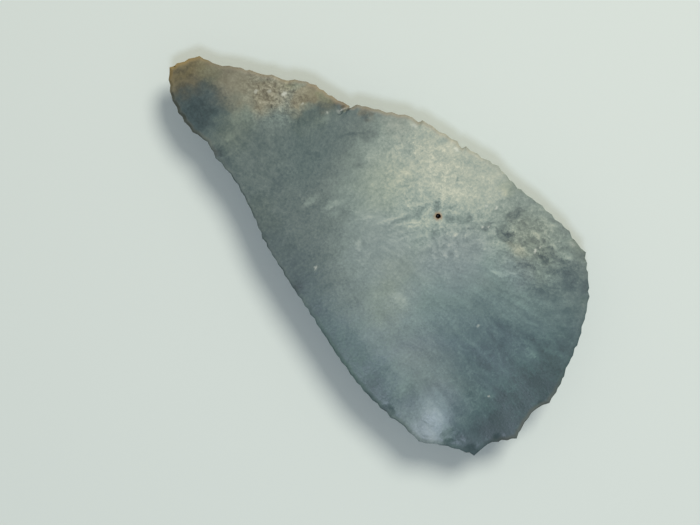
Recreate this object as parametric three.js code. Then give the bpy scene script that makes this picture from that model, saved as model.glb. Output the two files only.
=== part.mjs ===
// Uniface knife: one large flint flake, knapped on one face only.
// Millimetres, +Z up. +Y runs from the butt to the point, and +X is to the right seen from above.
// The knife lies on its worked back, with its smooth bulbar face up. The origin is on the surface
// that it lies on, under the middle of its outline.
import * as THREE from "three";

// Driving dimensions of the flake
const LENGTH = 107.2;
const WIDTH = 54.7;
const THICKNESS = 10; // from the bulbar face down to the flat that the knife lies on
const POINT_THICKNESS = 4.7;
const BUTT_THICKNESS = 6.8;
const FACE_BOW = 0.9; // how far the bulbar face falls towards the point and the butt
const BULB_RISE = 1.1; // the bulb of percussion above the face
const BULB_RADIUS = 8;
const BULB_INSET = 7.5; // from the struck edge to the middle of the bulb

// Driving dimensions of the knapping on the back
const EDGE_ANGLE = 50; // degrees between the bulbar face and the retouched bevel
const PLATFORM_ANGLE = 72; // the same where the flake was struck
const PLATFORM_HEIGHT = 3.4; // the steep remnant of the striking platform, under the bulb
const PLATFORM_RADIUS = 5.5;
const RETOUCH_PITCH = 2.5; // one nibbled scar to the next along the edge
const RETOUCH_BITE = 0.34; // how deep a nibble cuts into the outline
const SHAPING_PITCH = 7.2; // the scars that thin the edge
const THINNING_PITCH = 13.5; // the long scars that run in to the ridge
const RIDGE_ALLOWANCE = 1.4; // how far the ridge would stand below the flat that the knife lies on
const SCAR_DISH = 1.2; // 1 leaves a scar straight from edge to ridge, and more makes it hollow

// Spacing of the net of points that carries both faces
const RING_COUNT = 17;
const RING_CROWDING = 1.12; // above 1 the rings lie closer together near the edge
const NET_STEP = 1.45;
const SAMPLES = 900;

// The outline's corners from the struck corner, anticlockwise: percent of the width across from the
// long axis, percent of the length from the butt, and how far the arc to the next corner swells out,
// in percent of its chord.
const CORNERS = [
  [-37.5, 3.5, 2], [-30.7, 3.3, 0], [-21.2, 0, -5], [-7.7, 1.4, 0], [-2.6, 0.4, 4], [13.5, 3.2, 3],
  [25.2, 5.7, 1], [37.3, 9.6, 1], [48.4, 16.3, -5], [49.7, 21.5, 0], [49.2, 28.9, -4], [48.1, 40.5, -1],
  [44.6, 47.7, 0], [43.0, 48.0, 0], [43.7, 49.6, 0], [39.9, 57.4, 0], [38.2, 57.7, 11], [36.6, 60.6, -1],
  [26.3, 68.8, 0], [24.5, 69.0, -3], [20.5, 77.1, 6], [12.8, 82.6, 10], [9.0, 85.9, 4], [-0.9, 93.8, 0],
  [-3.3, 97.4, 4], [-14.6, 100, 9], [-24.7, 92.4, 2], [-26.0, 87.7, -10], [-26.9, 80.8, -2],
  [-27.8, 75.2, -3], [-36.0, 63.2, 0], [-39.9, 55.0, 0], [-46.3, 39.2, 2], [-49.9, 28.0, 1],
  [-49.9, 20.5, 0], [-48.8, 18.7, 1], [-48.6, 13.3, 11], [-45.7, 11.2, -3],
];

const radians = THREE.MathUtils.degToRad;
const lerp = THREE.MathUtils.lerp;
const clamp = THREE.MathUtils.clamp;
const smoothstep = THREE.MathUtils.smoothstep;

// A repeatable uneven value from 0 to 1 for the n-th scar of a row.
function uneven(n, row) {
  const wave = Math.sin(n * 12.9898 + row * 78.233) * 43758.5453;
  return wave - Math.floor(wave);
}

// A place given in percent across and along, in millimetres.
function placed([across, along]) {
  return new THREE.Vector2((across / 100) * WIDTH, (along / 100) * LENGTH);
}

// The edge: each arc between two corners is nibbled in whole bites that meet in small sharp points.
function nibbledRim() {
  const points = [];
  CORNERS.forEach((corner, index) => {
    const from = placed(corner);
    const to = placed(CORNERS[(index + 1) % CORNERS.length]);
    const chord = to.clone().sub(from);
    const outward = new THREE.Vector2(chord.y, -chord.x).normalize();
    const swell = (2 * corner[2] * chord.length()) / 100;
    const middle = from.clone().add(to).multiplyScalar(0.5).addScaledVector(outward, swell);
    const arc = new THREE.QuadraticBezierCurve(from, middle, to);
    const bites = Math.max(1, Math.round(chord.length() / RETOUCH_PITCH));
    for (let bite = 0; bite < bites; bite += 1) {
      const shift = bite ? 0.5 * (uneven(bite, index) - 0.5) : 0;
      const depth = RETOUCH_BITE * lerp(0.3, 1, uneven(bite, index + 100)) * Math.min(1, bites / 2);
      points.push(arc.getPoint((bite + shift) / bites));
      points.push(arc.getPoint((bite + 0.5) / bites).addScaledVector(outward, -depth));
    }
  });
  return points;
}

// How far round a closed row of points each one lies, as shares from 0 to 1, and the row's length.
function measured(points) {
  const lengths = [0];
  points.forEach((point, index) => {
    lengths.push(lengths[index] + point.distanceTo(points[(index + 1) % points.length]));
  });
  const total = lengths[points.length];
  return { shares: lengths.map((length) => length / total), total };
}

const rim = nibbledRim();
const rimMeasure = measured(rim);

// The place on the edge at a share of its length.
function rimAt(share) {
  const wrapped = share - Math.floor(share);
  const index = rimMeasure.shares.findIndex((value) => value > wrapped) - 1;
  const [start, end] = [rimMeasure.shares[index], rimMeasure.shares[index + 1]];
  return rim[index].clone().lerp(rim[(index + 1) % rim.length], (wrapped - start) / (end - start));
}

// The share of a stretch where it comes nearest to a place.
function nearestShare(point, from, to) {
  const run = to.clone().sub(from);
  return clamp(point.clone().sub(from).dot(run) / run.lengthSq(), 0, 1);
}

function distanceToEdge(point) {
  const distances = rim.map((from, index) => {
    const to = rim[(index + 1) % rim.length];
    return point.distanceTo(from.clone().lerp(to, nearestShare(point, from, to)));
  });
  return Math.min(...distances);
}

// The line down the middle of the back that the long scars run towards.
const SPINE = [placed([-1, 21]), placed([-9, 84])];

function spineShare(point) {
  return nearestShare(point, SPINE[0], SPINE[1]);
}

function spineAt(share) {
  return SPINE[0].clone().lerp(SPINE[1], share);
}

// Where the flake was struck, and which way the blow ran.
const STRUCK = placed([-45, 10]);
const BLOW = new THREE.Vector2(1, 0).rotateAround(new THREE.Vector2(), radians(39));
const BULB = STRUCK.clone().addScaledVector(BLOW, BULB_INSET);

// The share of the length, from the butt, where the knife is thickest.
const CREST = 0.44;

// The smooth bulbar face: a slow bow from end to end, a faint roll across, and the bulb.
function bulbarHeight(point) {
  const along = point.y / LENGTH - CREST;
  const across = point.x / WIDTH;
  const bulb = BULB_RISE * Math.exp(-point.distanceToSquared(BULB) / BULB_RADIUS ** 2);
  return THICKNESS - FACE_BOW * ((2 * along) ** 2 + across ** 2) + bulb;
}

// How far below the bulbar face the ridge lies.
function ridgeDepth(point) {
  const along = point.y / LENGTH;
  const towardsPoint = smoothstep(along, CREST, 1);
  const towardsButt = smoothstep(CREST - along, 0, CREST);
  const crest = THICKNESS + RIDGE_ALLOWANCE;
  return crest - (crest - POINT_THICKNESS) * towardsPoint - (crest - BUTT_THICKNESS) * towardsButt;
}

// How much of the striking platform's steepness a place has.
function platformShare(point) {
  return Math.exp(-point.distanceToSquared(STRUCK) / PLATFORM_RADIUS ** 2);
}

// A row of flake scars round the edge. Each starts below the edge and runs inwards, either all the
// way to the ridge or at a slope of its own until it meets what was there before.
function scarRow({ row, pitch, start, slope, hollow, turn }) {
  const count = Math.round(rimMeasure.total / pitch);
  return Array.from({ length: count }, (_, n) => {
    const from = rimAt((n + 0.4 * uneven(n, row)) / count);
    const end = spineAt(spineShare(from));
    const swing = turn * (uneven(n, row + 1) - 0.5);
    const inward = end.clone().sub(from).normalize().rotateAround(new THREE.Vector2(), swing);
    const depth = lerp(start[0], start[1], uneven(n, row + 2)) + platformShare(from) * PLATFORM_HEIGHT;
    const length = from.distanceTo(end);
    const rise = slope ? slope * length * lerp(0.8, 1.2, uneven(n, row + 3)) : ridgeDepth(end) - depth;
    const half = 0.5 * pitch * lerp(0.85, 1.3, uneven(n, row + 4));
    return { from, inward, depth, length, rise, half, hollow };
  });
}

const SCARS = [
  ...scarRow({ row: 1, pitch: THINNING_PITCH, start: [1.9, 3.8], hollow: 1.6, turn: 0.9 }),
  ...scarRow({ row: 11, pitch: SHAPING_PITCH, start: [0.9, 2.0], slope: 0.62, hollow: 0.9, turn: 0.6 }),
];

// How far below the bulbar face a scar's hollow floor lies.
function scarDepth(scar, point) {
  const offset = point.clone().sub(scar.from);
  const along = Math.max(0, offset.dot(scar.inward)) / scar.length;
  const aside = offset.cross(scar.inward) / scar.half;
  return scar.depth + scar.rise * along ** SCAR_DISH + scar.hollow * aside ** 2;
}

// The steep retouched bevel that leaves the edge itself.
function bevelDepth(point) {
  const [edge, platform] = [EDGE_ANGLE, PLATFORM_ANGLE].map((angle) => Math.tan(radians(angle)));
  return lerp(edge, platform, platformShare(point)) * distanceToEdge(point);
}

// Everything that can be the surface of the back at a place, as depths below the bulbar face. The
// first is the flat that the knife lies on, and the shallowest is what the blows left.
const SCAR_FLOORS = SCARS.map((scar) => (point) => scarDepth(scar, point));
const FLOORS = [bulbarHeight, ridgeDepth, bevelDepth, ...SCAR_FLOORS];

function backHeight(point) {
  const depth = Math.min(...FLOORS.map((floor) => floor(point)));
  return Math.max(0, bulbarHeight(point) - depth);
}

// One ring of the net, evenly spaced round its own length, a share of the way from edge to spine.
function ring(inward) {
  const samples = Array.from({ length: SAMPLES }, (_, n) => {
    const edge = rimAt(n / SAMPLES);
    return edge.lerp(spineAt(spineShare(edge)), inward);
  });
  const { shares, total } = measured(samples);
  const count = Math.round(total / NET_STEP);
  return Array.from({ length: count }, (_, n) => {
    const at = shares.findIndex((value) => value > n / count) - 1;
    return { point: samples[at], share: at / SAMPLES };
  });
}

// The innermost ring is the spine itself, walked up one side and down the other.
function spineRing(firstIndex) {
  const steps = Math.round(SPINE[0].distanceTo(SPINE[1]) / NET_STEP);
  const progress = Array.from({ length: SAMPLES }, (_, n) => steps * spineShare(rimAt(n / SAMPLES)));
  const walked = [{ index: firstIndex, share: 0 }];
  let step = 0;
  progress.forEach((value, n) => {
    const wayUp = n < progress.lastIndexOf(steps);
    while (wayUp ? value >= step + 1 : value <= step - 1 || (value === 0 && step > 0)) {
      step += wayUp ? 1 : -1;
      walked.push({ index: firstIndex + step, share: n / SAMPLES });
    }
  });
  return { walked, points: Array.from({ length: steps + 1 }, (_, n) => spineAt(n / steps)) };
}

// Joins two rings with a band of triangles, stepping on whichever lags behind.
function band(outer, inner) {
  const triangles = [];
  const entry = (row, n) => row[n % row.length];
  const shareOf = (row, n) => entry(row, n).share + Math.floor(n / row.length);
  let a = 0;
  let b = 0;
  while (a < outer.length || b < inner.length) {
    const [here, across] = [entry(outer, a).index, entry(inner, b).index];
    const outerLags = a < outer.length && shareOf(outer, a + 1) <= shareOf(inner, b + 1);
    if (b >= inner.length || outerLags) {
      a += 1;
      triangles.push([here, entry(outer, a).index, across]);
    } else {
      b += 1;
      triangles.push([here, entry(inner, b).index, across]);
    }
  }
  return triangles.filter(([i, j, k]) => i !== j && j !== k && k !== i);
}

// The net: its points seen from above, edge first, and its triangles.
function flatNet() {
  const points = [];
  const numbered = (entries) => entries.map(({ point, share }) => ({ index: points.push(point) - 1, share }));
  const rings = [numbered(rim.map((point, n) => ({ point, share: rimMeasure.shares[n] })))];
  for (let index = 1; index < RING_COUNT; index += 1) {
    rings.push(numbered(ring((index / RING_COUNT) ** RING_CROWDING)));
  }
  const spine = spineRing(points.length);
  points.push(...spine.points);
  rings.push(spine.walked);
  const triangles = rings.slice(1).flatMap((inner, index) => band(rings[index], inner));
  return { points, triangles };
}

// Twice the area of a triangle seen from above, negative if it is turned over.
function turnOf(points, [i, j, k]) {
  return points[j].clone().sub(points[i]).cross(points[k].clone().sub(points[i]));
}

// Slides the back's points on to the sharp ridges between two scars, where one is close by, and
// puts back the points of a triangle that this leaves too thin.
function slidToRidges(points, triangles) {
  const nudge = 0.02;
  const reach = 0.42 * NET_STEP;
  const leastShareLeft = 0.25;
  const slid = points.map((point, index) => {
    if (index < rim.length) return point;
    const depths = FLOORS.map((floor) => ({ floor, depth: floor(point) }));
    const [first, second] = depths.sort((a, b) => a.depth - b.depth);
    const gap = (x, y) => {
      const place = point.clone().add(new THREE.Vector2(x, y));
      return second.floor(place) - first.floor(place);
    };
    const here = gap(0, 0);
    const slope = new THREE.Vector2(gap(nudge, 0) - here, gap(0, nudge) - here).divideScalar(nudge);
    if (slope.length() * reach <= here) return point;
    return point.clone().addScaledVector(slope, -here / slope.lengthSq());
  });
  triangles.forEach((triangle) => {
    if (turnOf(slid, triangle) > leastShareLeft * turnOf(points, triangle)) return;
    triangle.forEach((index) => {
      slid[index] = points[index];
    });
  });
  return slid;
}

// Turns the net's diagonals to run along the back's ridges instead of across them.
function turnedDiagonals(points, triangles) {
  const passes = 2;
  const leastGain = 0.004;
  const leastTurn = 0.15 * NET_STEP ** 2;
  const turned = triangles.map((triangle) => [...triangle]);
  const heights = points.map(backHeight);
  const error = (i, j) => {
    const halfway = points[i].clone().lerp(points[j], 0.5);
    return Math.abs(backHeight(halfway) - (heights[i] + heights[j]) / 2);
  };
  for (let pass = 0; pass < passes; pass += 1) {
    const sides = new Map();
    const touched = new Set();
    turned.forEach((triangle, t) => {
      triangle.forEach((i, corner) => {
        const [j, k] = [triangle[(corner + 1) % 3], triangle[(corner + 2) % 3]];
        const other = sides.get(`${j} ${i}`);
        sides.set(`${i} ${j}`, { t, k });
        if (!other || touched.has(t) || touched.has(other.t)) return;
        const swapped = [[k, i, other.k], [other.k, j, k]];
        const allOnEdge = swapped.some((three) => three.every((index) => index < rim.length));
        const roomy = swapped.every((three) => turnOf(points, three) > leastTurn);
        if (allOnEdge || !roomy || error(k, other.k) > error(i, j) - leastGain) return;
        [turned[t], turned[other.t]] = swapped;
        touched.add(t).add(other.t);
      });
    });
  }
  return turned;
}

// The flake as one closed solid: the net carries the bulbar face and, turned over, the back, and
// both share the points of the edge.
function flakeGeometry() {
  const { points, triangles } = flatNet();
  const backPoints = slidToRidges(points, triangles);
  const backTriangles = turnedDiagonals(backPoints, triangles);
  const face = points.map((point) => [point.x, point.y, bulbarHeight(point)]);
  const back = backPoints.slice(rim.length).map((point) => [point.x, point.y, backHeight(point)]);
  const below = (index) => (index < rim.length ? index : index + back.length);
  const corners = [...triangles, ...backTriangles.map(([i, j, k]) => [below(i), below(k), below(j)])];

  const geometry = new THREE.BufferGeometry();
  geometry.setAttribute("position", new THREE.Float32BufferAttribute([...face, ...back].flat(), 3));
  geometry.setIndex(corners.flat());
  geometry.computeVertexNormals();
  return geometry;
}

// Mottled blue-grey flint with a dull, waxy skin
const flint = new THREE.MeshStandardMaterial({ color: 0x76847f, roughness: 0.5, metalness: 0 });

const blade = new THREE.Mesh(flakeGeometry(), flint);
blade.name = "flint_knife";
blade.geometry.computeBoundingBox();
const middle = blade.geometry.boundingBox.getCenter(new THREE.Vector3());
blade.position.set(-middle.x, -middle.y, 0);

const knife = new THREE.Group();
knife.add(blade);
export default knife;
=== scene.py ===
# A uniface knife of mottled flint: one large flake, struck from its core with a single blow, and then
# knapped all round the edge from its smooth face, so that only its back is worked.
import math

import bpy
import numpy as np
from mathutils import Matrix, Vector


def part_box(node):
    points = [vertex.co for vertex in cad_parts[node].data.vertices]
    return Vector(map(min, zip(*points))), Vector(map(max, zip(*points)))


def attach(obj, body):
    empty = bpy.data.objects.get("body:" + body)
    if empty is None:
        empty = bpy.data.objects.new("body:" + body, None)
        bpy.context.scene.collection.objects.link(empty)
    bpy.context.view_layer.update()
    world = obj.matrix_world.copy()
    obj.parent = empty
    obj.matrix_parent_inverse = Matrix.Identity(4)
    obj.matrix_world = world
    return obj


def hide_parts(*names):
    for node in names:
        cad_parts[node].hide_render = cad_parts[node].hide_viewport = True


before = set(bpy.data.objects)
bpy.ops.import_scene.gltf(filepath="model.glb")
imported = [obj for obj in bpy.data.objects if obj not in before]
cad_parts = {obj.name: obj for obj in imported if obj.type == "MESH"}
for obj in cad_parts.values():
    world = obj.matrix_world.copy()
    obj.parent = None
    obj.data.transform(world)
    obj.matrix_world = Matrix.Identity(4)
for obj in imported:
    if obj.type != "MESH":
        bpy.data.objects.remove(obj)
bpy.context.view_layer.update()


# The flake. Flint breaks like glass: the face that the blow left is smooth and slightly bowed, with
# the bulb of percussion where it was struck. The knife starts as a copy of its solid with a finer net.
MM = 0.001
SAME_POINT = 0.002
NET_CUTS = 3
low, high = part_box("flint_knife")
LENGTH = (high.y - low.y) / MM
WIDTH = (high.x - low.x) / MM
BUTT = low.y / MM

bpy.ops.object.select_all(action="DESELECT")
knife = bpy.data.objects.new("knapped_flint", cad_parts["flint_knife"].data.copy())
bpy.context.collection.objects.link(knife)
bpy.context.view_layer.objects.active = knife
knife.select_set(True)
knife.data.materials.clear()
bpy.ops.mesh.customdata_custom_splitnormals_clear()
bpy.ops.object.mode_set(mode="EDIT")
bpy.ops.mesh.select_all(action="SELECT")
bpy.ops.mesh.remove_doubles(threshold=SAME_POINT * MM)
bpy.ops.object.mode_set(mode="OBJECT")

# The corner that was struck, from the middle of the butt, in shares of the width and the length.
STRUCK_CORNER = np.array((-0.375, 0.035))


# The edge, where the smooth face meets the back: its points in millimetres, in order anticlockwise
# from the struck corner, so that they count the nibbled bites one by one.
def edge_points(mesh):
    upper_sides = set()
    for polygon in mesh.polygons:
        if polygon.normal.z > 0:
            corners = list(polygon.vertices)
            upper_sides.update(zip(corners, corners[1:] + corners[:1]))
    following = {a: b for a, b in upper_sides if (b, a) not in upper_sides}
    corner = np.array((0, BUTT)) + STRUCK_CORNER * (WIDTH, LENGTH)
    places = {index: np.array(mesh.vertices[index].co[:2]) / MM for index in following}
    index = min(places, key=lambda i: np.linalg.norm(places[i] - corner))
    ordered = []
    for _ in following:
        ordered.append(places[index])
        index = following[index]
    return np.array(ordered)


edge = edge_points(knife.data)
edge_runs = np.roll(edge, -1, axis=0) - edge
edge_steps = np.linalg.norm(edge_runs, axis=1)
edge_length = edge_steps.sum()
edge_shares = np.concatenate(((0,), np.cumsum(edge_steps))) / edge_length

# The net is finer in three small places on the smooth face: round the pit near the middle, at the
# notch in the right edge, and over the scar on the bulb.
PIT = (9.9, 44.9)
BULB_SCAR = (-20.8, 9.9)
FINE_NETS = (
    # across, along from the butt, reach, cuts
    (*PIT, 1.5, 4),
    (13.0, 73.6, 2.6, 1),
    (*BULB_SCAR, 3.4, 1),
)
UPPER = 0.7 * high.z

bpy.ops.object.mode_set(mode="EDIT")
bpy.ops.mesh.select_all(action="SELECT")
bpy.ops.mesh.subdivide(number_cuts=NET_CUTS)
bpy.ops.mesh.select_mode(type="VERT")
for across, along, reach, cuts in FINE_NETS:
    bpy.ops.mesh.select_all(action="DESELECT")
    bpy.ops.object.mode_set(mode="OBJECT")
    for vertex in knife.data.vertices:
        away = math.hypot(vertex.co.x / MM - across, vertex.co.y / MM - BUTT - along)
        vertex.select = away < reach and vertex.co.z > UPPER
    bpy.ops.object.mode_set(mode="EDIT")
    bpy.ops.mesh.subdivide(number_cuts=cuts)
bpy.ops.mesh.select_all(action="SELECT")
bpy.ops.mesh.quads_convert_to_tris()
bpy.ops.object.mode_set(mode="OBJECT")

# The forms that the solid already has, worked out again at every point of the finer net: the same
# bowed face, ridge and uneven scars, from the same sizes in millimetres and degrees.
DRAWN_SIZE = np.array((54.7, 107.2))
THICKNESS = 10.0
POINT_THICKNESS = 4.7
BUTT_THICKNESS = 6.8
FACE_BOW = 0.9
CREST = 0.44
RIDGE_ALLOWANCE = 1.4
BULB_RISE = 1.1
BULB_RADIUS = 8.0
BULB_INSET = 7.5
BLOW_WAY = math.radians(39)
EDGE_ANGLE = 50
PLATFORM_ANGLE = 72
PLATFORM_HEIGHT = 3.4
PLATFORM_RADIUS = 5.5
SCAR_DISH = 1.2

butt_middle = edge[0] - STRUCK_CORNER * DRAWN_SIZE


def placed(across, along):
    return butt_middle + np.array((across, along)) / 100 * DRAWN_SIZE


SPINE = (placed(-1, 21), placed(-9, 84))
STRUCK = placed(-45, 10)
BULB = STRUCK + BULB_INSET * np.array((math.cos(BLOW_WAY), math.sin(BLOW_WAY)))


# A number from the least to the greatest that jumps about from one blow to the next, the same each
# time. The row tells one run of such numbers from another.
BLOW_STEP, ROW_STEP, SCATTER = 12.9898, 78.233, 43758.5453


def uneven(n, row, least=0.0, greatest=1.0):
    wave = np.sin(n * BLOW_STEP + row * ROW_STEP) * SCATTER
    return least + (greatest - least) * (wave - np.floor(wave))


def smoothstep(value, start, end):
    t = np.clip((value - start) / (end - start), 0, 1)
    return t * t * (3 - 2 * t)


def edge_at(share):
    index = int(np.searchsorted(edge_shares, share, side="right")) - 1
    part = (share - edge_shares[index]) / (edge_shares[index + 1] - edge_shares[index])
    return edge[index] + edge_runs[index] * part


def spine_near(point):
    run = SPINE[1] - SPINE[0]
    return SPINE[0] + run * np.clip(np.dot(point - SPINE[0], run) / np.dot(run, run), 0, 1)


def bowed_face(points):
    across, along = ((points - butt_middle) / DRAWN_SIZE).T
    bulb = BULB_RISE * np.exp(-((points - BULB) ** 2).sum(1) / BULB_RADIUS ** 2)
    return THICKNESS - FACE_BOW * ((2 * (along - CREST)) ** 2 + across ** 2) + bulb


def ridge_depth(points):
    along = (points[:, 1] - butt_middle[1]) / DRAWN_SIZE[1]
    crest = THICKNESS + RIDGE_ALLOWANCE
    to_point = (crest - POINT_THICKNESS) * smoothstep(along, CREST, 1)
    to_butt = (crest - BUTT_THICKNESS) * smoothstep(CREST - along, 0, CREST)
    return crest - to_point - to_butt


def platform_share(points):
    return np.exp(-((points - STRUCK) ** 2).sum(1) / PLATFORM_RADIUS ** 2)


# The scars that the blows left on the back, in two rows. Each starts at the edge, a little below the
# face, and rises towards the ridge: the long ones reach it, and the short ones have a slope instead.
SCAR_ROWS = (
    # row, pitch, least start, greatest start, slope, hollow, swing
    (1, 13.5, 1.9, 3.8, None, 1.6, 0.9),
    (11, 7.2, 0.9, 2.0, 0.62, 0.9, 0.6),
)
STRAY = 0.4
SLOPE_RANGE = (0.8, 1.2)
BREADTH_RANGE = (0.85, 1.3)
scars = []
for row, pitch, least, greatest, slope, hollow, swing in SCAR_ROWS:
    blows = round(edge_length / pitch)
    for n in range(blows):
        begin = edge_at((n + uneven(n, row, 0, STRAY)) / blows)
        end = spine_near(begin)
        length = np.linalg.norm(end - begin)
        ahead = (end - begin) / length
        turn = uneven(n, row + 1, -swing / 2, swing / 2)
        inward = np.array((
            ahead[0] * math.cos(turn) - ahead[1] * math.sin(turn),
            ahead[0] * math.sin(turn) + ahead[1] * math.cos(turn),
        ))
        depth = uneven(n, row + 2, least, greatest)
        depth += platform_share(begin[None])[0] * PLATFORM_HEIGHT
        rise = ridge_depth(end[None])[0] - depth
        if slope:
            rise = slope * length * uneven(n, row + 3, *SLOPE_RANGE)
        half = pitch / 2 * uneven(n, row + 4, *BREADTH_RANGE)
        scars.append((begin, inward, depth, length, rise, half, hollow))

BATCH = 4000


# How far each point lies in from the edge, and where along its bite: -1 and 1 at the bite's two sharp
# ends and 0 in its middle. The edge's points are the ends and the middles of its bites in turn.
def edge_measures(points):
    inset = np.empty(len(points))
    phase = np.empty(len(points))
    share = np.empty(len(points))
    for first in range(0, len(points), BATCH):
        some = points[first:first + BATCH]
        offset = some[:, None] - edge[None]
        part = np.clip((offset * edge_runs).sum(2) / (edge_runs ** 2).sum(1), 0, 1)
        away = np.hypot(*np.moveaxis(offset - edge_runs * part[..., None], 2, 0))
        nearest = away.argmin(1)
        rows = np.arange(len(some))
        along = part[rows, nearest]
        inset[first:first + BATCH] = away[rows, nearest]
        phase[first:first + BATCH] = np.where(nearest % 2 == 0, along - 1, along)
        share[first:first + BATCH] = edge_shares[nearest] + along * edge_steps[nearest] / edge_length
    return inset, phase, share


# Places measured from a small form: across and along from the butt give its middle, and the angle
# turns it.
def turned(points, middle, degrees):
    offset = points - np.array((middle[0], BUTT + middle[1]))
    cosine, sine = math.cos(math.radians(degrees)), math.sin(math.radians(degrees))
    return offset[:, 0] * cosine + offset[:, 1] * sine, offset[:, 1] * cosine - offset[:, 0] * sine


# The edge is worn down a little, most in the bites on the left below the point, and a few chips came
# off it in use. Both lower the back as much as the face, so the edge stays as thick.
WEAR = 0.08
WANDERING_WEAR = 0.14
WEAR_BESIDE_POINT = 0.5
WEAR_ON_RIGHT = 0.2
WEAR_WAVES = 23
WEAR_SLOPE = 0.8
SLOW_WAVES = 0.4
SPARED_AT_ENDS = 0.75
LEFT_OF_POINT = -7
RIGHT_SIDE = -2
POINT_WEAR_FROM = (90, 98)
RIGHT_WEAR_FROM = (30, 50)
DEEPEST_OUTSIDE = 1.3
CHIPS = (
    # across, along from the butt, way in (degrees), length, half width, depth
    (-27.2, 23.6, -8, 2.0, 1.5, 0.5),
    (13.8, 74.3, 160, 3.6, 0.7, 0.6),
    (21.3, 62.0, 190, 1.8, 1.0, 0.35),
    (23.9, 52.2, 185, 1.6, 1.1, 0.4),
    (26.8, 21.0, 176, 1.5, 1.2, 0.3),
    (19.6, 9.7, 125, 1.6, 1.3, 0.3),
    (-3.0, 0.4, 80, 1.8, 1.5, 0.35),
    (-14.4, 2.2, 55, 1.7, 1.2, 0.3),
    (-20.3, 4.4, 60, 2.0, 1.6, 0.4),
    (-22.8, 8.9, 35, 1.9, 1.4, 0.35),
    (-15.0, 85.5, -5, 1.3, 1.2, 0.3),
    (-14.4, 93.6, 0, 1.3, 1.4, 0.35),
    (-13.4, 101.2, -20, 1.5, 1.3, 0.35),
    (-19.6, 68.2, -5, 1.1, 1.0, 0.25),
)


def worn_width(points, phase, share):
    turns = 2 * math.pi * share * WEAR_WAVES
    wander = (1 + np.sin(turns + 2 * np.sin(SLOW_WAVES * turns))) / 2
    beside_point = smoothstep(points[:, 1] - BUTT, *POINT_WEAR_FROM) * (points[:, 0] < LEFT_OF_POINT)
    in_bites = beside_point * (1 - SPARED_AT_ENDS * phase ** 2)
    on_right = smoothstep(points[:, 1] - BUTT, *RIGHT_WEAR_FROM) * (points[:, 0] > RIGHT_SIDE)
    return WEAR + WANDERING_WEAR * wander + WEAR_BESIDE_POINT * in_bites + WEAR_ON_RIGHT * on_right


def chip_drops(points):
    drop = np.zeros(len(points))
    for across, along, way, length, half, depth in CHIPS:
        inward, aside = turned(points, (across, along), way)
        onward = np.clip(1 - inward / length, 0, DEEPEST_OUTSIDE)
        drop += depth * onward * np.clip(1 - (aside / half) ** 2, 0, 1)
    return drop


# One bite more was broken out of the right edge, as a small notch: the points about it move inwards.
NOTCH = (13.7, 74.1)
NOTCH_WAY = 172
NOTCH_HALF = 0.4
NOTCH_BITE = 0.7
NOTCH_REACH = 1.6


def notched(points):
    inward, aside = turned(points, NOTCH, NOTCH_WAY)
    bite = NOTCH_BITE * np.clip(1 - np.abs(aside) / NOTCH_HALF, 0, 1)
    bite *= np.clip(1 - inward / NOTCH_REACH, 0, 1)
    way = math.radians(NOTCH_WAY)
    return points + bite[:, None] * np.array((math.cos(way), math.sin(way)))


# The back. Its long scars thinned the flake, shorter ones shaped its edge, and small steep ones, one
# to a bite, sharpened it. Each blow left ripples round the place where it fell.
FLUTE = 0.3
FLUTE_START = 0.8
RIPPLE = 0.03
RIPPLE_PITCH = 2.4
RIPPLE_PITCH_RANGE = (0.8, 1.3)
RIPPLE_START = (1, 3)
RIPPLE_LOSS = 0.6
RIPPLE_LOSS_FROM = 0.4
RIPPLE_CROWDING = 0.9
PITCH_ROW, WAVE_ROW = 61, 62
RIDGE_REACH = 0.14
NUDGE = 0.02


def back_floors(points):
    inset, phase, _ = edge_measures(points)
    steep = math.tan(math.radians(EDGE_ANGLE))
    steeper = math.tan(math.radians(PLATFORM_ANGLE))
    slope = steep + (steeper - steep) * platform_share(points)
    fluted = 1 + FLUTE * phase ** 2 * smoothstep(inset, 0, FLUTE_START)
    floors = [bowed_face(points), ridge_depth(points), slope * inset * fluted]
    for begin, inward, depth, length, rise, half, hollow in scars:
        offset = points - begin
        along = np.maximum(offset @ inward, 0) / length
        aside = (offset[:, 0] * inward[1] - offset[:, 1] * inward[0]) / half
        floors.append(depth + rise * along ** SCAR_DISH + hollow * aside ** 2)
    return np.array(floors), inset


# Points close to a ridge between two scars slide onto it, so that the ridge is one sharp line.
def slid_to_ridges(points, inset, floors):
    order = np.argsort(floors, axis=0)
    columns = np.arange(len(points))
    first, second = order[0], order[1]
    here = floors[second, columns] - floors[first, columns]
    slope = []
    for direction in ((NUDGE, 0), (0, NUDGE)):
        moved, _ = back_floors(points + np.array(direction))
        slope.append((moved[second, columns] - moved[first, columns] - here) / NUDGE)
    slope = np.array(slope).T
    steepness = np.maximum((slope ** 2).sum(1), 1e-9)
    step = -slope * (here / steepness)[:, None]
    close = (np.linalg.norm(step, axis=1) < RIDGE_REACH) & (inset > 2 * RIDGE_REACH)
    return points + step * close[:, None]


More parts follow.
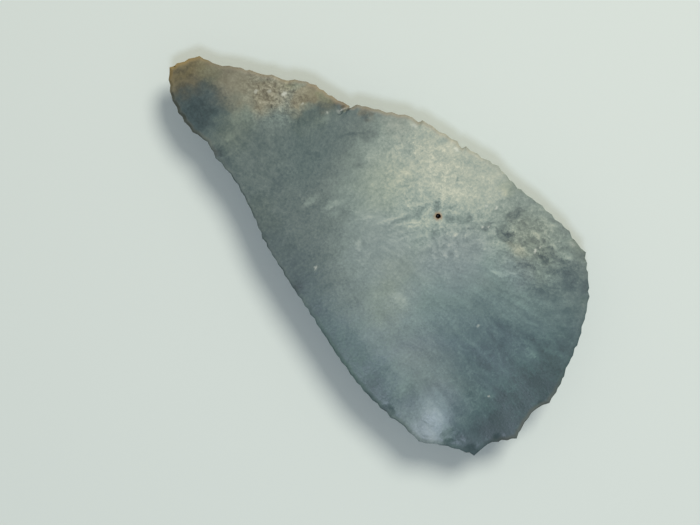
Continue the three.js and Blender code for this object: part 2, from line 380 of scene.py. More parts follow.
def knapped_back(points):
    floors, inset = back_floors(points)
    points = slid_to_ridges(points, inset, floors)
    floors, inset = back_floors(points)
    lowest = floors.argmin(0)
    first_scar = len(floors) - len(scars)
    height = bowed_face(points) - floors.min(0)
    for n, (begin, inward, depth, length, rise, half, hollow) in enumerate(scars):
        inside = lowest == first_scar + n
        away = np.linalg.norm(points[inside] - begin, axis=1)
        pitch = RIPPLE_PITCH * uneven(n, PITCH_ROW, *RIPPLE_PITCH_RANGE)
        loss = RIPPLE_LOSS * smoothstep(away, RIPPLE_LOSS_FROM * length, length)
        fade = smoothstep(away, *RIPPLE_START) * (1 - loss)
        wave = np.sin(2 * math.pi * (away ** RIPPLE_CROWDING / pitch + uneven(n, WAVE_ROW)))
        height[inside] += RIPPLE * fade * wave
    inset, phase, share = edge_measures(points)
    height -= WEAR_SLOPE * worn_width(points, phase, share) * np.exp(-inset) + chip_drops(points)
    return points, np.maximum(height, 0)


# The smooth face is hardly worked. Faint ripples spread from the blow, the bulb lost a small ragged
# flake of its own, two fine splits run across it, and one deep pit goes in near the middle.
FACE_RIPPLE = 0.014
FACE_RIPPLE_PITCH = 5.5
FACE_RIPPLE_REACH = 60
FACE_RIPPLE_START = (2, 9)
SWELL = 0.05
SWELL_ACROSS = 5.1
SWELL_ALONG = 8.7
SWELL_SHIFT = 1.3
BULB_SCAR_TURN = 28
BULB_SCAR_HALVES = (1.7, 2.6)
BULB_SCAR_DEPTH = 0.1
BULB_SCAR_FLOOR = 0.8
BULB_SCAR_TEETH = (
    # teeth in the round, height, turn (radians)
    (4, 0.14, 0.6),
    (7, 0.09, 0),
)
SPLITS = (
    # across, along from the butt, turn (degrees), half width, half length, rise
    (-22.2, 15.8, 14, 0.22, 1.7, 0.08),
    (-24.4, 14.2, 32, 0.2, 1.2, 0.05),
)
PIT_RADIUS = 0.5
PIT_DEPTH = 1.3
PIT_STEEPNESS = 4


def smooth_face(points):
    height = bowed_face(points)
    away = np.linalg.norm(points - STRUCK, axis=1)
    fade = np.exp(-away / FACE_RIPPLE_REACH) * smoothstep(away, *FACE_RIPPLE_START)
    height += FACE_RIPPLE * fade * np.sin(2 * math.pi * away / FACE_RIPPLE_PITCH)
    swell_across = np.sin(points[:, 0] / SWELL_ACROSS + SWELL_SHIFT)
    height += SWELL * swell_across * np.sin(points[:, 1] / SWELL_ALONG)

    across, along = turned(points, BULB_SCAR, BULB_SCAR_TURN)
    across, along = across / BULB_SCAR_HALVES[0], along / BULB_SCAR_HALVES[1]
    round_scar = np.arctan2(along, across)
    ragged = 1 + sum(rise * np.sin(teeth * round_scar + turn) for teeth, rise, turn in BULB_SCAR_TEETH)
    height -= BULB_SCAR_DEPTH * np.clip(ragged - across ** 2 - along ** 2, 0, BULB_SCAR_FLOOR)
    for across, along, turn, half_width, half_length, rise in SPLITS:
        aside, onward = turned(points, (across, along), turn)
        height += rise * np.exp(-(onward / half_length) ** 4 - (aside / half_width) ** 2)

    inset, phase, share = edge_measures(points)
    height -= WEAR_SLOPE * np.maximum(worn_width(points, phase, share) - inset, 0) + chip_drops(points)
    hole = np.hypot(*turned(points, PIT, 0)) / PIT_RADIUS
    return height - PIT_DEPTH * np.clip(1 - hole ** PIT_STEEPNESS, 0, 1)


# Every point of the net takes its height from the face or from the back. How near it is to the edge
# stays with it for the stone's colours: 1 at the edge, and 0 from the far end of the rim inwards.
BELOW_FACE = 0.04
RIM = (0.25, 1.1)
SHARP_RIDGE = math.radians(28)

places = np.empty(len(knife.data.vertices) * 3, np.float32)
knife.data.vertices.foreach_get("co", places)
places = places.reshape(-1, 3).astype(float) / MM
on_back = bowed_face(places[:, :2]) - places[:, 2] > BELOW_FACE
back_points, back_heights = knapped_back(places[on_back][:, :2])
places[on_back] = np.column_stack((back_points, back_heights))
places[~on_back, 2] = smooth_face(places[~on_back][:, :2])
places[:, :2] = notched(places[:, :2])
knife.data.vertices.foreach_set("co", (places * MM).astype(np.float32).ravel())
knife.data.update()
nearness = 1 - smoothstep(edge_measures(places[:, :2])[0], *RIM)
rim = knife.data.attributes.new("rim", "FLOAT", "POINT")
rim.data.foreach_set("value", nearness.astype(np.float32))
bpy.ops.object.shade_smooth_by_angle(angle=SHARP_RIDGE)

# Flint, a dense stone that breaks like glass and was then worn a little in the ground: satin, with no
# grain, blue-grey with a cream cloud in it, and ochre at the point, where the rind of the nodule was.
flint = bpy.data.materials.new("mottled_flint")
flint.use_nodes = True
flint.node_tree.nodes.clear()


def linear(code):
    values = [int(code[i:i + 2], 16) / 255 for i in (1, 3, 5)]
    return (*(v / 12.92 if v <= 0.04045 else ((v + 0.055) / 1.055) ** 2.4 for v in values), 1)


def add(kind, settings=None, links=None):
    made = flint.node_tree.nodes.new(kind)
    for name, value in (settings or {}).items():
        if isinstance(name, int) or name in made.inputs:
            made.inputs[name].default_value = value
        else:
            setattr(made, name, value)
    for socket, source in (links or {}).items():
        flint.node_tree.links.new(source, made.inputs[socket])
    return made


coordinates = add("ShaderNodeTexCoord").outputs["Object"]


# Colours in this stone have no hard borders, so the places they are read at are moved about by a
# noise: its size and the reach of the moves are in millimetres.
def wandered(where, size, detail, roughness, reach):
    drift = add("ShaderNodeTexNoise", {
        "Scale": 1 / (size * MM), "Detail": detail, "Roughness": roughness,
    }, {"Vector": coordinates})
    move = add("ShaderNodeVectorMath", {
        "operation": "MULTIPLY_ADD", 1: (reach * MM,) * 3, 2: (-reach * MM / 2,) * 3,
    }, {0: drift.outputs["Color"]})
    return add("ShaderNodeVectorMath", {"operation": "ADD"}, {0: where, 1: move.outputs[0]}).outputs[0]


swirled = wandered(coordinates, size=9, detail=3.0, roughness=0.6, reach=7)
clouded = wandered(swirled, size=2.2, detail=3.0, roughness=0.65, reach=3.2)
nudged = wandered(coordinates, size=2.2, detail=3.0, roughness=0.65, reach=2.8)
bent = wandered(coordinates, size=14, detail=2.0, roughness=0.5, reach=9)
torn = wandered(coordinates, size=0.5, detail=1.0, roughness=0.5, reach=0.7)


# Each row is a soft area: across, along from the butt, half width and half length in millimetres,
# turn in degrees, and weight. It is full round its middle and gone at its half width and half length.
WHOLE_DEPTH = 60
SOFT_BORDER = 0.75


def soft_areas(areas, start, where, height=0, half_height=WHOLE_DEPTH):
    total = None
    for across, along, half_across, half_along, turn, weight in areas:
        place = add("ShaderNodeMapping", {
            "vector_type": "TEXTURE",
            "Location": (across * MM, (BUTT + along) * MM, height * MM),
            "Rotation": (0, 0, math.radians(turn)),
            "Scale": (half_across * MM, half_along * MM, half_height * MM),
        }, {"Vector": where})
        ball = add("ShaderNodeTexGradient", {"gradient_type": "SPHERICAL"}, {"Vector": place.outputs[0]})
        soft = add("ShaderNodeMapRange", {
            "interpolation_type": "SMOOTHSTEP", "From Max": SOFT_BORDER, "To Max": weight,
        }, {"Value": ball.outputs["Fac"]}).outputs[0]
        if total is None:
            total = add("ShaderNodeMath", {"operation": "ADD", 1: start}, {0: soft}).outputs[0]
        else:
            total = add("ShaderNodeMath", {"operation": "ADD"}, {0: total, 1: soft}).outputs[0]
    return total


# How pale the stone is, from 0 for slate to 1 for cream, with painted sheen and painted shade in a
# few places: first its broad clouds.
BROAD_PALENESS = 0.1
PALE_CLOUDS = (
    (19, 51, 19, 25, 8, 0.6),
    (-2, 43.5, 25, 23, 0, 0.34),
    (21, 27, 14, 17, 0, 0.24),
    (2, 90, 11, 14, 25, 0.28),
    (6, 84.5, 6, 6, 20, 0.1),
    (10.8, 80.4, 3.5, 5, 20, 0.24),
    (10, 5, 5, 3, 20, 0.08),
    (-11.2, 96.8, 5.2, 6.6, -6, -0.3),
    (-6.4, 96.4, 4, 5.5, 0, -0.2),
    (-11, 103.5, 2.5, 3, 0, 0.1),
    # Painted shade: darker along the left edge below the point.
    (-18, 74, 4, 15, -13, -0.06),
    # Painted sheen: the bulb's highlight carried out to the left edge.
    (-25.4, 13.6, 3.4, 3.6, 0, 0.14),
    (21, 12.4, 3, 2.4, 45, -0.2),
    (23.6, 52.6, 2, 3, 0, -0.16),
    (-10, 93, 7, 5, 0, -0.06),
    (-5, 102.5, 7, 4, -20, 0.12),
    # These three darken the left side: partly the stone's own teal, partly painted shade.
    (-20, 63, 8, 24, -14, -0.1),
    (-25, 37, 8, 20, -4, -0.16),
    (-25, 28, 5, 6, 0, -0.12),
    (-16, 48, 8, 9, 0, -0.1),
    (-8, 40, 14, 15, 0, -0.05),
    (-4, 18, 14, 10, 0, -0.03),
    (-16, 56, 8, 9, 0, -0.08),
    (12, 48, 7, 9, 0, -0.07),
    (9, 27, 8, 12, 0, 0.1),
    (8, 18, 8, 8, 0, 0.05),
    (18, 53, 8, 9, 0, 0.07),
    (11, 32, 5, 5, 0, 0.05),
    (24, 40, 5, 6, 0, 0.06),
    # These two darken the stone towards the butt: partly its own slate, partly painted shade.
    (-5, 14, 11, 8, 0, -0.08),
    (1, 14, 7, 6, 0, -0.08),
    (-17, 23, 9, 13, 10, 0.16),
    # Painted sheen: a pale patch for the light the bulb reflects, over the lamp's own sheen.
    (-22, 15.5, 7, 7, 0, 0.3),
    (5, 61, 14, 10, 20, 0.24),
    # These three darken the butt and its left corner: partly slate, partly painted shade.
    (-2, 4, 28, 9, 0, -0.33),
    (-17, 6, 9, 6, 0, -0.1),
    (-12, 3, 6, 5, 0, -0.12),
    (18, 18, 7, 7, 0, -0.07),
    (21, 34, 7, 4.5, 0, -0.12),
    (3, 75, 11, 6, -25, -0.03),
)
paleness = soft_areas(PALE_CLOUDS, BROAD_PALENESS, clouded)

# Then its smaller marks, which wander only a little, so that they stay where they are.
PALE_MARKS = (
    (4.6, 79, 6.5, 1.8, -20, -0.1),
    (8, 81.2, 4.4, 2.2, -25, 0.12),
    (9.4, 78, 3.0, 1.2, -40, -0.08),
    (13.7, 70.3, 1.2, 1.0, 0, -0.2),
    (7.6, 76.5, 2.6, 1.6, -15, 0.12),
    (12, 76.4, 2.0, 1.3, -30, -0.1),
    # The notch's step: partly its stain, partly painted highlight on its lip and painted shadow beside
    # it.
    (11.8, 74.7, 2.4, 0.5, -3, 0.12),
    (12.3, 74.2, 1.6, 0.4, -3, -0.36),
    (10.8, 75.2, 0.8, 0.4, 0, -0.3),
    (11, 77.6, 1.6, 1.0, -40, -0.08),
    (4.5, 77.5, 3.8, 3, 0, 0.04),
    (12, 67, 3.4, 2.2, -20, -0.14),
    (14.8, 59, 2.8, 1.4, 20, -0.14),
    (14, 55.6, 2.2, 1.1, 20, -0.08),
    (4, 51.4, 2.0, 1.4, -30, 0.1),
    (4, 45, 1.8, 1.4, -30, 0.1),
    (4, 22.4, 1.4, 2.4, 20, 0.1),
    (23, 38.4, 2.0, 1.4, 0, 0.12),
    (-22, 22, 3, 3, 0, -0.1),
    (-22, 55, 2, 2.4, 0, -0.1),
    (-22, 49, 2, 3, 0, -0.1),
    (-15.5, 80, 2.4, 4, -12, -0.08),
    (4, 19.6, 1.4, 2, 20, 0.08),
    (12, 55.6, 2, 1.4, 0, 0.1),
    (7, 65.4, 1.6, 1.2, 0, -0.1),
    (9, 58, 1.8, 1.4, 0, -0.1),
    (14.2, 42, 1.6, 1.4, 0, -0.1),
    (21, 31, 1.6, 1.4, 0, -0.14),
    (18.3, 47.2, 1.1, 0.6, 30, -0.4),
    (6.4, 42.4, 2.6, 1.6, 20, -0.22),
    (8, 40.4, 1.4, 1.8, 0, -0.14),
    (11.8, 42.4, 2.6, 1.3, -30, -0.22),
    (13.4, 40.2, 2.4, 1.4, -20, -0.22),
    (11.2, 39, 1.6, 1.1, 0, -0.16),
    (11.8, 36.9, 4.0, 0.9, -6, -0.06),
    (15.7, 36.2, 2.2, 1.6, -10, -0.28),
    (11.4, 46.9, 2.3, 1.3, 25, -0.34),
    (8, 48.4, 3, 1.4, -20, -0.28),
    (6, 64, 1.8, 1.3, 0, -0.16),
    (14, 40.4, 1.8, 2.2, 20, -0.14),
    (13.6, 38, 2.4, 1.4, 0, -0.12),
    (16.4, 39, 1.4, 1.6, 0, -0.12),
    (9, 42, 1.4, 1.4, 0, -0.12),
    (10, 48, 1.6, 1.0, 0, -0.12),
    (12, 32, 2.4, 2.4, 0, 0.12),
    (14, 28, 1.4, 2.4, 20, 0.14),
    (12.6, 44.6, 3.2, 2.2, 10, -0.16),
    (2.6, 51.4, 5.4, 0.5, -27, 0.2),
    (4.6, 48.2, 5.8, 0.5, -30, 0.2),
    (5.2, 46.9, 5, 0.4, -20, 0.14),
    (2.4, 47.6, 4.2, 0.4, -38, 0.14),
    (3.6, 49.8, 4.6, 0.5, -30, -0.08),
    (6, 50.6, 4.6, 0.7, -33, -0.08),
    (9, 70, 3.6, 0.8, -32, -0.12),
    (10.6, 68.6, 3, 0.6, -32, -0.1),
    (1.4, 46.6, 4.2, 0.5, -40, 0.12),
    (17.2, 32.4, 2.2, 2.4, 20, -0.16),
    (16.2, 33.6, 0.6, 1.4, -20, -0.26),
    (17.1, 32.4, 0.6, 1.7, 20, -0.26),
    (18, 31.7, 0.7, 1.6, 25, -0.3),
    (18.3, 30.7, 1.2, 0.6, 0, -0.26),
    (16.4, 31, 1.1, 0.5, -30, -0.22),
    (21.6, 33.8, 3.8, 1.8, -10, -0.26),
    (16.5, 28, 1.8, 2.8, 24, 0.2),
    (22.2, 25.2, 0.8, 1.9, 20, -0.3),
    (22, 23.4, 1.2, 1.4, 0, -0.12),
    (14, 23, 1.6, 2, 0, -0.1),
    (10.4, 41, 1.4, 1.2, 0, -0.1),
    (13.9, 18.3, 1.3, 1.5, 0, -0.1),
    (20.4, 16, 4.0, 2.4, 30, -0.2),
    (19.4, 23.4, 1.0, 2.8, 16, -0.2),
    (21.4, 21.2, 0.9, 2.8, 10, -0.2),
    (15.6, 24.6, 1.6, 4.0, 22, -0.1),
    (17.8, 27, 0.9, 2.6, 24, 0.3),
    (21.7, 27.2, 0.8, 2.6, 6, 0.28),
    (22.8, 24, 0.8, 2.6, 10, 0.2),
    (23.4, 19.6, 0.9, 2.8, 16, 0.24),
    (25.2, 27, 1.3, 3.4, 4, 0.2),
    (15, 31.4, 1.4, 2.6, 18, 0.2),
    (13, 34.6, 1.6, 1.8, 0, 0.1),
    (7.6, 38.6, 1.0, 1.5, 20, 0.2),
    (5.2, 38.2, 0.8, 1.1, 0, 0.16),
    (9.7, 39.6, 1.1, 0.8, 0, 0.18),
    (3.4, 39.6, 1.0, 1.3, 0, 0.14),
    (6.9, 36.6, 0.6, 1.1, -20, 0.22),
    (11.6, 37.9, 1.2, 0.7, 0, 0.14),
    (6.1, 37.4, 0.5, 0.9, 30, -0.14),
    (8.9, 37.8, 0.5, 1.1, -20, -0.14),
    (10.3, 27.6, 0.7, 3.2, 25, 0.24),
    (12.6, 25.4, 0.7, 2.6, 27, 0.12),
    (-8.4, 38.4, 1.6, 3.2, -8, 0.16),
    (-6.5, 66, 3, 1.3, -12, 0.22),
    (-4, 62.2, 3, 1.1, -20, 0.18),
    (-5, 60.6, 2.2, 1.2, -20, 0.12),
    (8.4, 84.2, 2.4, 1.8, 0, 0.2),
    (-3.2, 58.4, 5.5, 1.4, -58, -0.08),
    (-6, 52.8, 1.8, 1.0, 30, 0.18),
    (-1, 55.4, 4, 0.7, -40, 0.12),
    (-21, 55.5, 2.4, 2.6, 0, -0.12),
    (-9.5, 73.5, 3, 2, 0, -0.1),
    (5.4, 11, 1.2, 5, -4, -0.16),
    (3.2, 17.6, 1.6, 4.6, 20, -0.1),
    (0.4, 19.4, 1.0, 3.4, -24, -0.12),
    (8, 8.6, 0.9, 3.8, -16, 0.1),
    (3.4, 9.6, 0.8, 4.2, -6, 0.1),
    (-9, 11, 1.0, 4.6, 27, 0.12),
    (-7.6, 9, 2.4, 2.4, 0, -0.12),
    # Darker on the bulb's small scar: partly its own blue-grey, partly painted shade below the sheen.
    (-21.4, 9.2, 3.4, 1.4, -20, -0.12),
    (-13.4, 87.4, 2.0, 2.4, 0, -0.28),
    (-13.4, 84.2, 1.8, 1.6, 0, -0.16),
    (-5.2, 92, 2.6, 2.0, -30, -0.14),
    (-9.4, 87.6, 2.2, 1.2, 0, 0.12),
    (-6.4, 104.8, 6, 0.5, -27, -0.08),
    (-6.8, 103.2, 6.4, 0.6, -27, -0.07),
    (-5.8, 106.1, 5, 0.5, -27, 0.06),
)
marks = soft_areas(PALE_MARKS, 0.0, nudged)
paleness = add("ShaderNodeMath", {"operation": "ADD"}, {0: paleness, 1: marks}).outputs[0]


# Lays a mottle over the paleness: its noise, up and down from the middle, by how bold it is in all
# and by how strong it is at each place.
def mottled(under, noise, boldness, strength):
    swing = add("ShaderNodeMath", {
        "operation": "MULTIPLY_ADD", 1: boldness, 2: -boldness / 2,
    }, {0: noise})
    return add("ShaderNodeMath", {"operation": "MULTIPLY_ADD"}, {
        0: swing.outputs[0], 1: strength, 2: under,
    }).outputs[0]


# Streaks of the old mud run out from a place: so long, and so wide at 30 mm from it, all in millimetres.
FAN_REACH = 30


def streaks_from(across, along, width, length, where):
    outward = add("ShaderNodeVectorMath", {
        "operation": "SUBTRACT", 1: (across * MM, (BUTT + along) * MM, 0),
    }, {0: where})
    heading = add("ShaderNodeVectorMath", {"operation": "NORMALIZE"}, {0: outward.outputs[0]})
    fanned = add("ShaderNodeVectorMath", {"operation": "SCALE", "Scale": FAN_REACH / width}, {
        0: heading.outputs[0],
    })
    distance = add("ShaderNodeVectorMath", {"operation": "LENGTH"}, {0: outward.outputs[0]})
    stretched = add("ShaderNodeMath", {"operation": "MULTIPLY", 1: 1 / (length * MM)}, {
        0: distance.outputs["Value"],
    })
    place = add("ShaderNodeCombineXYZ", {}, {"Z": stretched.outputs[0]})
    both = add("ShaderNodeVectorMath", {"operation": "ADD"}, {0: fanned.outputs[0], 1: place.outputs[0]})
    return add("ShaderNodeTexNoise", {"Scale": 1.0, "Detail": 4.0, "Roughness": 0.62}, {
        "Vector": both.outputs[0],
    }).outputs["Fac"]


# The mottling is boldest by the right of the butt and below the point, and faint in the slate.
PLAIN_MOTTLE = 0.28
BOLD_MOTTLE = (
    (20, 27, 14, 18, 0, 0.22),
    (16, 50, 17, 21, 0, 0.22),
    (4, 87, 9, 10, 20, 0.46),
    (5, 46, 9, 9, 0, 0.04),
)
CLOT_SIZE = 2.6
DUST_SIZE = 0.55
strength = soft_areas(BOLD_MOTTLE, PLAIN_MOTTLE, clouded)
clots = add("ShaderNodeTexNoise", {"Scale": 1 / (CLOT_SIZE * MM), "Detail": 5.0, "Roughness": 0.72}, {
    "Vector": clouded,
}).outputs["Fac"]
dust = add("ShaderNodeTexNoise", {"Scale": 1 / (DUST_SIZE * MM), "Detail": 3.0, "Roughness": 0.7}, {
    "Vector": coordinates,
}).outputs["Fac"]
streaks = streaks_from(-9, 63, width=1.5, length=7, where=bent)
for noise, boldness in ((clots, 1.0), (dust, 1.3), (streaks, 0.9)):
    paleness = mottled(paleness, noise, boldness, strength)

PLAIN_WISPS = 0.1
BOLD_WISPS = (
    (18, 26, 13, 18, 0, 0.3),
    (2, 12, 22, 18, 0, 0.26),
    (4, 48, 10, 9, 0, 0.12),
)
wisp_strength = soft_areas(BOLD_WISPS, PLAIN_WISPS, coordinates)
wisps = streaks_from(-8, 65, width=0.8, length=4.5, where=bent)
paleness = mottled(paleness, wisps, boldness=1.3, strength=wisp_strength)

# Flecks with crisp borders, some pale and some dark, lean a little to the left of the knife's length.
FLECK_LEAN = math.radians(18)
FLECK_WIDTH, FLECK_LENGTH = 0.85, 1.6
FLECK_BORDER = (0.4, 0.62)
PLAIN_FLECKS = 0.12
BOLD_FLECKS = (
    (19, 27, 12, 15, 0, 0.7),
    (14, 52, 15, 19, 0, 0.6),
    (4, 87, 8, 9, 20, 1.2),
    (6, 41, 9, 11, 0, 0.45),
)
fleck_places = add("ShaderNodeMapping", {
    "vector_type": "TEXTURE", "Rotation": (0, 0, FLECK_LEAN),
    "Scale": (FLECK_WIDTH * MM, FLECK_LENGTH * MM, FLECK_WIDTH * MM),
}, {"Vector": nudged})
fleck_noise = add("ShaderNodeTexNoise", {"Scale": 1.0, "Detail": 4.0, "Roughness": 0.68}, {
    "Vector": fleck_places.outputs[0],
})
flecks = add("ShaderNodeMapRange", {
    "interpolation_type": "SMOOTHSTEP", "From Min": FLECK_BORDER[0], "From Max": FLECK_BORDER[1],
}, {"Value": fleck_noise.outputs["Fac"]}).outputs[0]
fleck_strength = soft_areas(BOLD_FLECKS, PLAIN_FLECKS, coordinates)
paleness = mottled(paleness, flecks, boldness=0.24, strength=fleck_strength)

# Pale threads, a quarter of a millimetre thick, curl through the stone: each runs where a noise passes
# the middle of its range.
THREAD_CURL = 5.0
THREAD_HALF = 0.02
PLAIN_THREADS = 0.15
BOLD_THREADS = (
    (-2, 12, 24, 17, 0, 0.5),
    (14, 50, 16, 20, 0, 0.5),
    (-4, 34, 20, 14, 0, 0.25),
    (19, 27, 12, 14, 0, 0.4),
)
thread_noise = add("ShaderNodeTexNoise", {
    "Scale": 1 / (THREAD_CURL * MM), "Detail": 2.0, "Roughness": 0.55,
}, {"Vector": nudged})
from_middle = add("ShaderNodeMath", {"operation": "SUBTRACT", 1: 0.5}, {0: thread_noise.outputs["Fac"]})
beside_thread = add("ShaderNodeMath", {"operation": "ABSOLUTE"}, {0: from_middle.outputs[0]})
threads = add("ShaderNodeMapRange", {
    "interpolation_type": "SMOOTHSTEP", "From Max": THREAD_HALF, "To Min": 1.0, "To Max": 0.0,
}, {"Value": beside_thread.outputs[0]}).outputs[0]
thread_strength = soft_areas(BOLD_THREADS, PLAIN_THREADS, coordinates)
paleness = mottled(paleness, threads, boldness=0.16, strength=thread_strength)

# The colours of the blue-grey stone and of the ochre stone, by how pale they are.
DARKEST, PALEST = -0.3, 1.1
STONE = (
    (-0.3, "#2b3b3d"), (-0.1, "#405152"), (0.0, "#4b5c5b"), (0.15, "#5e6d69"), (0.35, "#75857e"),
    (0.55, "#8e9c92"), (0.75, "#a7af9f"), (1.1, "#d2d2bc"),
)
OCHRE = (
    (-0.3, "#2d2c25"), (0.0, "#4c4b3e"), (0.2, "#696654"), (0.45, "#84836f"), (0.75, "#a4a28e"),
    (1.1, "#d6d2bd"),
)
tone = add("ShaderNodeMapRange", {"From Min": DARKEST, "From Max": PALEST}, {"Value": paleness})
rocks = []
for stops in (STONE, OCHRE):
    rock = add("ShaderNodeValToRGB", {}, {"Fac": tone.outputs[0]})
    while len(rock.color_ramp.elements) < len(stops):
        rock.color_ramp.elements.new(0.5)
    for element, (value, code) in zip(rock.color_ramp.elements, stops):
        element.position = (value - DARKEST) / (PALEST - DARKEST)
        element.color = linear(code)
    rocks.append(rock.outputs["Color"])
OCHRE_AREAS = (
    (-8.5, 109, 15, 12, -10, 2.4),
    (0.5, 95, 8, 14, 24, 0.95),
    (8.5, 82.2, 4.8, 3.4, -15, 1.0),
    (10.6, 80, 4.4, 6, 20, 0.9),
    (12.8, 76.6, 2.4, 3.6, 20, 1.4),
    (3.5, 86.5, 8, 5.5, -10, 0.55),
    (6, 81, 4.5, 3, -20, 0.4),
    (19, 27, 7, 7, 0, 0.14),
    (-14, 25, 8, 9, 0, 0.12),
    (16.8, 28.2, 2, 3, 20, 0.3),
    (13.8, 70.6, 2.2, 2.2, 0, 0.6),
    (12, 74.5, 2.6, 1.2, -3, 0.9),
)
coloured = add("ShaderNodeMix", {"data_type": "RGBA"}, {
    "Factor": soft_areas(OCHRE_AREAS, 0.0, clouded), 6: rocks[0], 7: rocks[1],
}).outputs[2]


# Stains the stone with a colour in soft areas, on its upper side alone where they have a height.
def stained(stone, colour, areas, where, blend="MIX", height=0, half_height=WHOLE_DEPTH, within=None):
    share = soft_areas(areas, 0.0, where, height, half_height)
    if within is not None:
        share = add("ShaderNodeMath", {"operation": "MULTIPLY"}, {0: share, 1: within}).outputs[0]
    return add("ShaderNodeMix", {"data_type": "RGBA", "blend_type": blend, 7: colour}, {
        "Factor": share, 6: stone,
    }).outputs[2]


# Faint tints, multiplied into the stone's colour: the old mud's gold, and the blue, green and violet
# casts of the flint itself. The violet on the bulb also tints its painted sheen blue-white.
GOLD = (1.07, 1.0, 0.76, 1)
GOLD_AREAS = (
    (-8, 108, 13, 9, -10, 1.3),
    (10, 82.8, 4, 4.6, 0, 0.2),
    (8, 87, 3.5, 3.5, 0, 0.6),
    (7, 78, 8, 6, 0, 0.3),
    (6, 58, 8, 8, 0, 0.2),
    (-5, 43, 6, 5, 0, 0.2),
    (25, 38, 3, 4, 0, 0.3),
    (26, 19, 3, 4, 0, 0.3),
    (-7, 89, 9, 7, 0, 0.35),
    (18.5, 66, 6, 6, 0, 0.25),
    (-17, 72, 5, 8, 0, 0.25),
    (-10, 40, 6, 6, 0, 0.25),
    (20, 27, 9, 11, 0, 0.24),
)
BLUE = (0.75, 0.97, 1.05, 1)
BLUE_AREAS = (
    (-4, 10, 34, 34, 0, 1.0),
    (-2, 42, 30, 26, 0, 0.2),
    (-24, 38, 11, 26, -4, 0.5),
    (-11.2, 97, 6.5, 7, 0, 0.5),
    (2, 74, 14, 9, 0, 0.2),
)
GREEN = (0.95, 1.07, 0.96, 1)
GREEN_AREAS = (
    (-2, 4, 18, 12, 0, 1.1),
    (-3.5, 100, 4, 5, 0, 0.6),
    (11, 79, 3, 3, 0, 0.8),
    (-25, 36, 7, 16, 0, 0.9),
)
VIOLET = (1.03, 0.94, 1.06, 1)
VIOLET_AND_SHEEN_AREAS = (
    (6, 36, 12, 9, -10, 0.6),
    # Painted sheen: a blue-white tint over the bulb's highlight, here and two rows down.
    (-19, 16.5, 9, 8, 0, 1.2),
    (-12.5, 25, 9, 11, 0, 0.5),
    (-25, 13.5, 5, 5, 0, 0.8),
    (-26.5, 23, 2, 3, 0, 0.7),
    (13, 25, 5, 6, 0, 0.4),
    (18, 66, 5, 6, 0, 0.4),
    (-8, 37, 6, 5, 0, 0.3),
    (-4, 48, 12, 14, 0, 0.4),
)
for tint, areas in ((GOLD, GOLD_AREAS), (BLUE, BLUE_AREAS), (GREEN, GREEN_AREAS), (VIOLET, VIOLET_AND_SHEEN_AREAS)):
    coloured = stained(coloured, tint, areas, clouded, "MULTIPLY")

# Small crystals catch the light, most of them where the stone is mottled. They, the rim and the pit's
# rust are on the upper side alone, at the face's height.
FACE_HEIGHT = 10
CRYSTALS = (
    (5.2, 86, 0.9, 0.7, 0, 0.7),
    (3.4, 88.6, 0.7, 0.5, 0, 0.4),
    (1.4, 90.6, 0.8, 0.5, 0, 0.4),
    (-16, 55.4, 0.6, 0.5, 0, 0.45),
    (8.9, 76.8, 0.5, 0.5, 0, 0.4),
    (6.4, 81.8, 0.5, 0.4, 0, 0.4),
    (-0.5, 22.6, 0.5, 0.4, 0, 0.3),
    (19.2, 25.3, 0.7, 0.4, 20, 0.7),
    (20.4, 25, 0.5, 0.3, 0, 0.5),
    (14.9, 36.6, 0.5, 0.4, 0, 0.5),
    (15.7, 35.8, 0.4, 0.4, 0, 0.4),
    (19.8, 37.4, 0.5, 0.4, 0, 0.5),
    (18.6, 39.2, 0.4, 0.4, 0, 0.4),
    (-9.4, 10.5, 0.4, 0.4, 0, 0.4),
)
coloured = stained(coloured, linear("#c9cec2"), CRYSTALS, torn, height=FACE_HEIGHT, half_height=3)

# The worn edge is tan along the right side, golden round the point, olive on the left below it, and
# a warm grey along the butt.
near_edge = add("ShaderNodeAttribute", {"attribute_name": "rim"}).outputs["Fac"]
RIMS = (
    ("#978a70", ((12, 74, 26, 44, 22, 0.5),)),
    ("#8d7a48", ((-6, 108, 12, 7, -20, 0.8),)),
    ("#474b3e", ((-14.5, 98, 8, 13, -8, 0.7),)),
    ("#77756a", ((-6, 0, 16, 6, 0, 0.3),)),
)
for colour, areas in RIMS:
    coloured = stained(
        coloured, linear(colour), areas, coordinates, height=FACE_HEIGHT, half_height=8, within=near_edge,
    )

# The pit is black inside, and rust has stained its rim.
RUST_AREA = (*PIT, 1.25, 1.25, 0, 1.0)
BLACK_AREA = (*PIT, 0.75, 0.75, 0, 1.0)
BLACK_BORDER = (0.2, 0.5)
coloured = stained(coloured, linear("#8f7048"), (RUST_AREA,), torn, height=FACE_HEIGHT, half_height=3)
black_share = add("ShaderNodeMapRange", {
    "interpolation_type": "SMOOTHSTEP", "From Min": BLACK_BORDER[0], "From Max": BLACK_BORDER[1],
}, {"Value": soft_areas((BLACK_AREA,), 0.0, torn, height=9.5, half_height=4)})
coloured = add("ShaderNodeMix", {"data_type": "RGBA", 7: linear("#0a0807")}, {
    "Factor": black_share.outputs[0], 6: coloured,
}).outputs[2]

# A fine tooth, about a quarter of a millimetre across, drawn twice as coarse as it is so that it shows.
TOOTH_SIZE = 0.5
TOOTH_DEPTH = 0.06
tooth = add("ShaderNodeTexNoise", {"Scale": 1 / (TOOTH_SIZE * MM), "Detail": 4.0, "Roughness": 0.6}, {
    "Vector": coordinates,
})
bump = add("ShaderNodeBump", {"Strength": 0.5, "Distance": TOOTH_DEPTH * MM}, {
    "Height": tooth.outputs["Fac"],
})

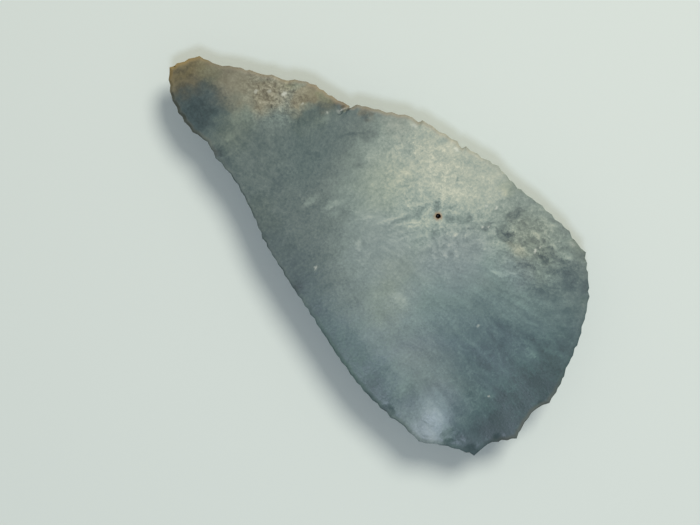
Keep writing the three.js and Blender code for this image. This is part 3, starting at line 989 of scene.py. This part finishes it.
# The polish varies with the clots, and the worn rim is duller.
CLOT_RANGE = (0.3, 0.7)
SATIN = (0.31, 0.42)
RIM_DULLNESS = 0.3
satin = add("ShaderNodeMapRange", {
    "From Min": CLOT_RANGE[0], "From Max": CLOT_RANGE[1], "To Min": SATIN[0], "To Max": SATIN[1],
}, {"Value": clots})
duller_rim = add("ShaderNodeMath", {"operation": "MULTIPLY_ADD", 1: RIM_DULLNESS}, {
    0: near_edge, 2: satin.outputs[0],
})
skin = add("ShaderNodeBsdfPrincipled", {"IOR": 1.54}, {
    "Base Color": coloured, "Roughness": duller_rim.outputs[0], "Normal": bump.outputs[0],
})
add("ShaderNodeOutputMaterial", {}, {"Surface": skin.outputs[0]})
knife.data.materials.append(flint)

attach(knife, "root")
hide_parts("flint_knife")


# The table under the knife: a plain pale floor of matt paper, laid flat, and wide enough to fill the
# view from any side.
FLOOR_SIZE = 6
PAPER_ROUGHNESS = 0.85
bpy.ops.object.select_all(action="DESELECT")
bpy.ops.mesh.primitive_plane_add(size=FLOOR_SIZE, location=(0, 0, 0))
floor = bpy.context.object
floor.name = "pale_floor"
paper = bpy.data.materials.new("pale_paper")
paper.use_nodes = True
matt = paper.node_tree.nodes["Principled BSDF"]
matt.inputs["Base Color"].default_value = linear("#ced9d5")
matt.inputs["Roughness"].default_value = PAPER_ROUGHNESS
floor.data.materials.append(paper)


# Soft studio light: a broad key from the right of the knife, a small cool fill whose sheen falls on
# the bulb, and pale walls all round.
def soft_light(name, place, target, size, power, colour):
    light = bpy.data.lights.new(name, "AREA")
    light.shape = "DISK"
    light.size = size
    light.energy = power
    light.color = linear(colour)[:3]
    lamp = bpy.data.objects.new(name, light)
    bpy.context.collection.objects.link(lamp)
    aim = np.array(target) - np.array(place)
    lamp.location = place
    lamp.rotation_euler = (math.acos(-aim[2] / np.linalg.norm(aim)), 0, math.atan2(-aim[0], aim[1]))


soft_light("key", (0.62, 0.1, 0.85), (0, 0, 0), size=0.45, power=8.4, colour="#fff8ee")
soft_light("fill", (-0.134, -0.132, 0.555), (-0.02, -0.04, 0), size=0.11, power=0.93, colour="#dde8ff")
WALL_LIGHT = 0.3
world = bpy.data.worlds.new("pale_walls")
world.use_nodes = True
world.node_tree.nodes["Background"].inputs["Color"].default_value = linear("#f7f3e8")
world.node_tree.nodes["Background"].inputs["Strength"].default_value = WALL_LIGHT
bpy.context.scene.world = world
bpy.context.scene.view_settings.view_transform = "Standard"


# The camera looks straight down at the smooth face, as it would be held over a knife in the hand,
# with the knife's length from the lower right to the upper left.
VIEW_CENTRE = (-10.1, 51.1)
VIEW_WIDTH = 147.2
VIEW_TURN = math.radians(-45)
LENS, SENSOR = 80, 36
camera_data = bpy.data.cameras.new("view")
camera_data.lens = LENS
camera_data.sensor_width = SENSOR
camera = bpy.data.objects.new("view", camera_data)
bpy.context.collection.objects.link(camera)
camera.location = (
    VIEW_CENTRE[0] * MM, (BUTT + VIEW_CENTRE[1]) * MM, (THICKNESS + VIEW_WIDTH * LENS / SENSOR) * MM,
)
camera.rotation_euler = (0, 0, VIEW_TURN)
bpy.context.scene.camera = camera
